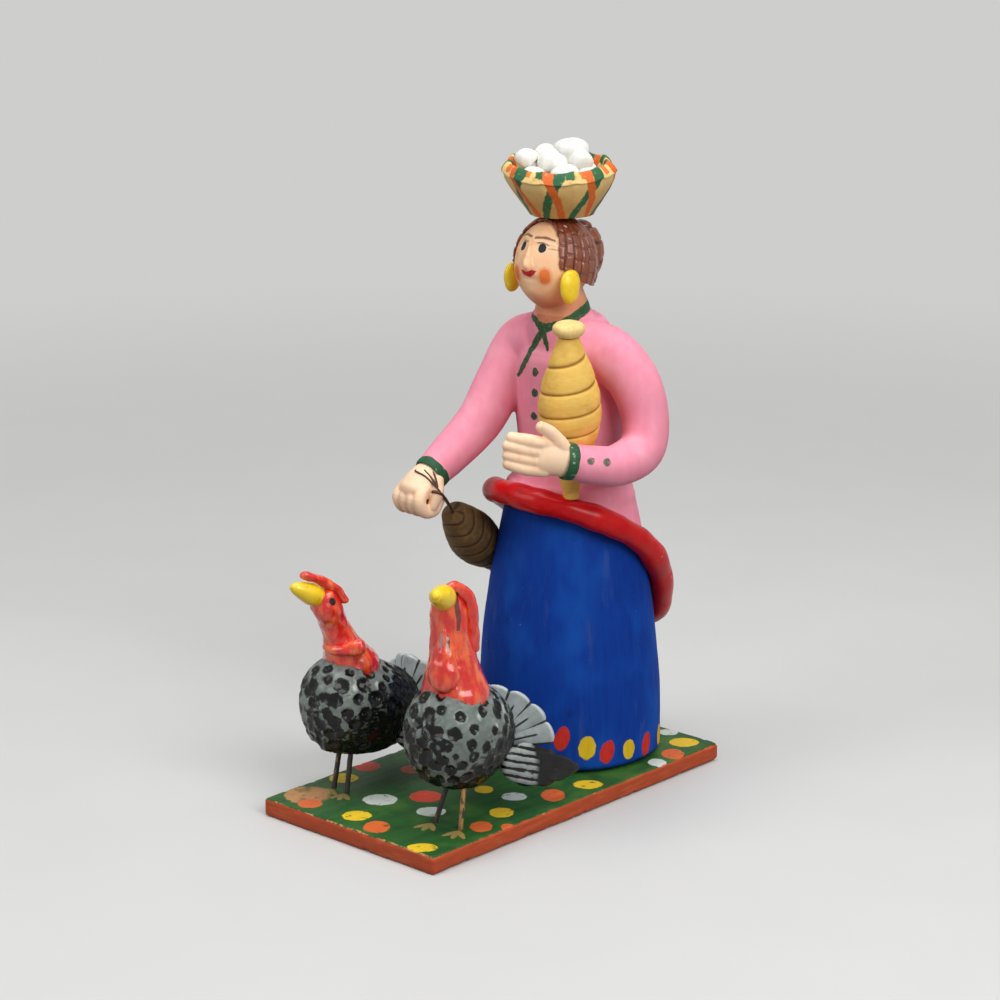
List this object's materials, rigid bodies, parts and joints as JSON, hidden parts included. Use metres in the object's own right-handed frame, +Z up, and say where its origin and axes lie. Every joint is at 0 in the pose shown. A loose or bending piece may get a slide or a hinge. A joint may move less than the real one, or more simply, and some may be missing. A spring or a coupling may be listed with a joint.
{
  "type": "painted clay figurine",
  "caption": "Painted clay figurine of a spinner with distaff and spindle, a basket of eggs on the head and turkeys at the feet, standing on a rectangular slab.",
  "frame": {"origin": "middle of the slab's underside, on the surface the figurine stands on", "axes": "+Z up, the spinner and the turkeys look along -Y, the spinner's left side is +X"},
  "size_m": [0.0873, 0.1513, 0.2254],
  "materials": {
    "grass_green": "brushed green paint with coloured spots, orange edges",
    "skirt_blue": "matte ultramarine paint",
    "roll_red": "satin red paint",
    "bodice_pink": "matte pink paint",
    "cuff_green": "matte green paint",
    "skin": "matte flesh paint",
    "hair_brown": "satin brown paint",
    "earring_yellow": "glossy yellow paint",
    "basket_straw": "cream paint with orange and green strands",
    "egg_white": "matte white paint",
    "flax_ochre": "matte ochre paint",
    "yarn_olive": "satin olive paint",
    "wire_brown": "brown painted wire",
    "feather_grey": "glossy grey paint with black dimples",
    "feather_black": "glossy black paint",
    "turkey_red": "glossy red and orange paint",
    "beak_yellow": "glossy yellow paint",
    "leg_dark": "dark painted wire"
  },
  "bodies": {
    "root": {"base_slab": "grass_green", "distaff_bundle": "flax_ochre", "distaff_cap": "flax_ochre", "egg_1": "egg_white", "egg_2": "egg_white", "egg_3": "egg_white", "egg_4": "egg_white", "egg_5": "egg_white", "egg_6": "egg_white", "egg_7": "egg_white", "egg_8": "egg_white", "egg_9": "egg_white", "egg_basket": "basket_straw", "hair_bun": "hair_brown", "hair_cap": "hair_brown", "head": "skin", "left_arm": "bodice_pink", "left_cuff": "cuff_green", "left_earring": "earring_yellow", "left_hand": "skin", "overskirt_roll": "roll_red", "right_arm": "bodice_pink", "right_cuff": "cuff_green", "right_earring": "earring_yellow", "right_hand": "skin", "skirt": "skirt_blue", "spindle_wire": "wire_brown", "spindle_yarn": "yarn_olive", "torso": "bodice_pink", "turkey_a_beak": "beak_yellow", "turkey_a_body": "feather_grey", "turkey_a_comb": "turkey_red", "turkey_a_head": "turkey_red", "turkey_a_left_leg": "leg_dark", "turkey_a_left_wing": "feather_black", "turkey_a_right_leg": "leg_dark", "turkey_a_right_wing": "feather_black", "turkey_a_tail": "feather_grey", "turkey_a_wattle": "turkey_red", "turkey_b_beak": "beak_yellow", "turkey_b_body": "feather_grey", "turkey_b_comb": "turkey_red", "turkey_b_head": "turkey_red", "turkey_b_left_leg": "leg_dark", "turkey_b_left_wing": "feather_black", "turkey_b_right_leg": "leg_dark", "turkey_b_right_wing": "feather_black", "turkey_b_tail": "feather_grey", "turkey_b_wattle": "turkey_red"}
  },
  "joints": []
}
